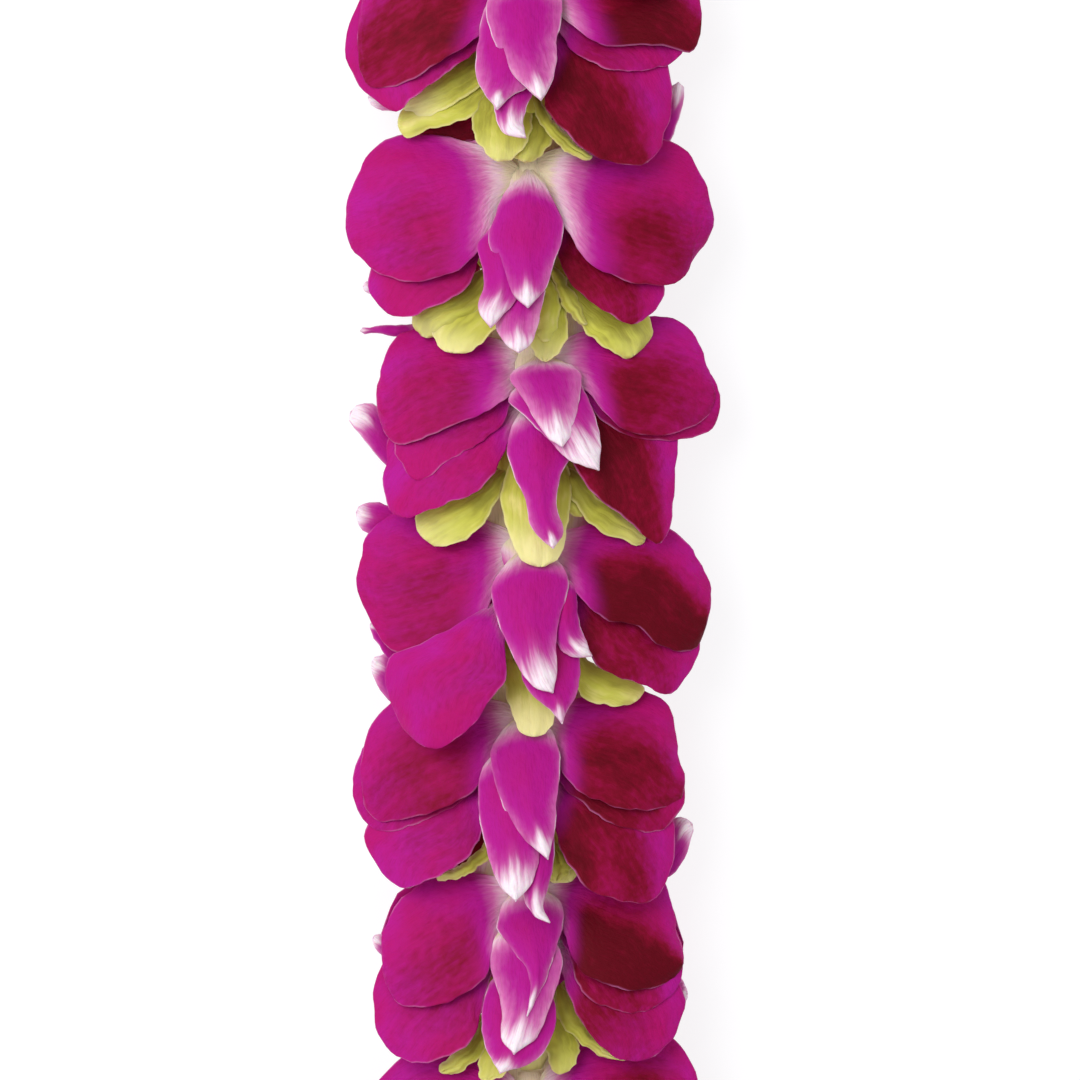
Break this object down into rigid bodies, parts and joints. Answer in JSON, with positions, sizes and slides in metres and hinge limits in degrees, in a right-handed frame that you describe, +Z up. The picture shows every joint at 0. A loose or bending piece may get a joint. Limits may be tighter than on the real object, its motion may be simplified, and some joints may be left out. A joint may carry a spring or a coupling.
{
  "type": "fresh orchid flower lei",
  "caption": "Closed garland of overlapping magenta orchid blooms with yellow-green blooms between them, threaded through their throats on one string and laid flat in a long loop.",
  "frame": {"origin": "middle of the lei's box, on the table it lies on", "axes": "+Z up from the table, +Y along the loop's long sides; the blooms of the -X side point along -Y"},
  "size_m": [0.2386, 0.4378, 0.0339],
  "materials": {
    "petal_magenta": "soft velvety petal, crimson at the heart and magenta at the edge, fine veins",
    "petal_green": "soft waxy petal, yellow-green with a cream throat",
    "string": "matt twisted cotton"
  },
  "bodies": {
    "root": {"string": "string", "magenta_blooms_01": "petal_magenta", "magenta_blooms_02": "petal_magenta", "magenta_blooms_03": "petal_magenta", "magenta_blooms_04": "petal_magenta", "magenta_blooms_05": "petal_magenta", "magenta_blooms_06": "petal_magenta", "magenta_blooms_07": "petal_magenta", "magenta_blooms_08": "petal_magenta", "magenta_blooms_09": "petal_magenta", "magenta_blooms_10": "petal_magenta", "magenta_blooms_11": "petal_magenta", "magenta_blooms_12": "petal_magenta", "magenta_blooms_13": "petal_magenta", "magenta_blooms_14": "petal_magenta", "magenta_blooms_15": "petal_magenta", "magenta_blooms_16": "petal_magenta", "magenta_blooms_17": "petal_magenta", "magenta_blooms_18": "petal_magenta", "magenta_blooms_19": "petal_magenta", "magenta_blooms_20": "petal_magenta", "magenta_blooms_21": "petal_magenta", "magenta_blooms_22": "petal_magenta", "magenta_blooms_23": "petal_magenta", "magenta_blooms_24": "petal_magenta", "magenta_blooms_25": "petal_magenta", "magenta_blooms_26": "petal_magenta", "green_bloom_01": "petal_green", "green_bloom_02": "petal_green", "green_bloom_03": "petal_green", "green_bloom_04": "petal_green", "green_bloom_05": "petal_green", "green_bloom_06": "petal_green", "green_bloom_07": "petal_green", "green_bloom_08": "petal_green", "green_bloom_09": "petal_green", "green_bloom_10": "petal_green", "green_bloom_11": "petal_green", "green_bloom_12": "petal_green", "green_bloom_13": "petal_green", "green_bloom_14": "petal_green", "green_bloom_15": "petal_green", "green_bloom_16": "petal_green", "green_bloom_17": "petal_green", "green_bloom_18": "petal_green", "green_bloom_19": "petal_green", "green_bloom_20": "petal_green", "green_bloom_21": "petal_green", "green_bloom_22": "petal_green", "green_bloom_23": "petal_green", "green_bloom_24": "petal_green", "green_bloom_25": "petal_green", "green_bloom_26": "petal_green"}
  },
  "joints": []
}
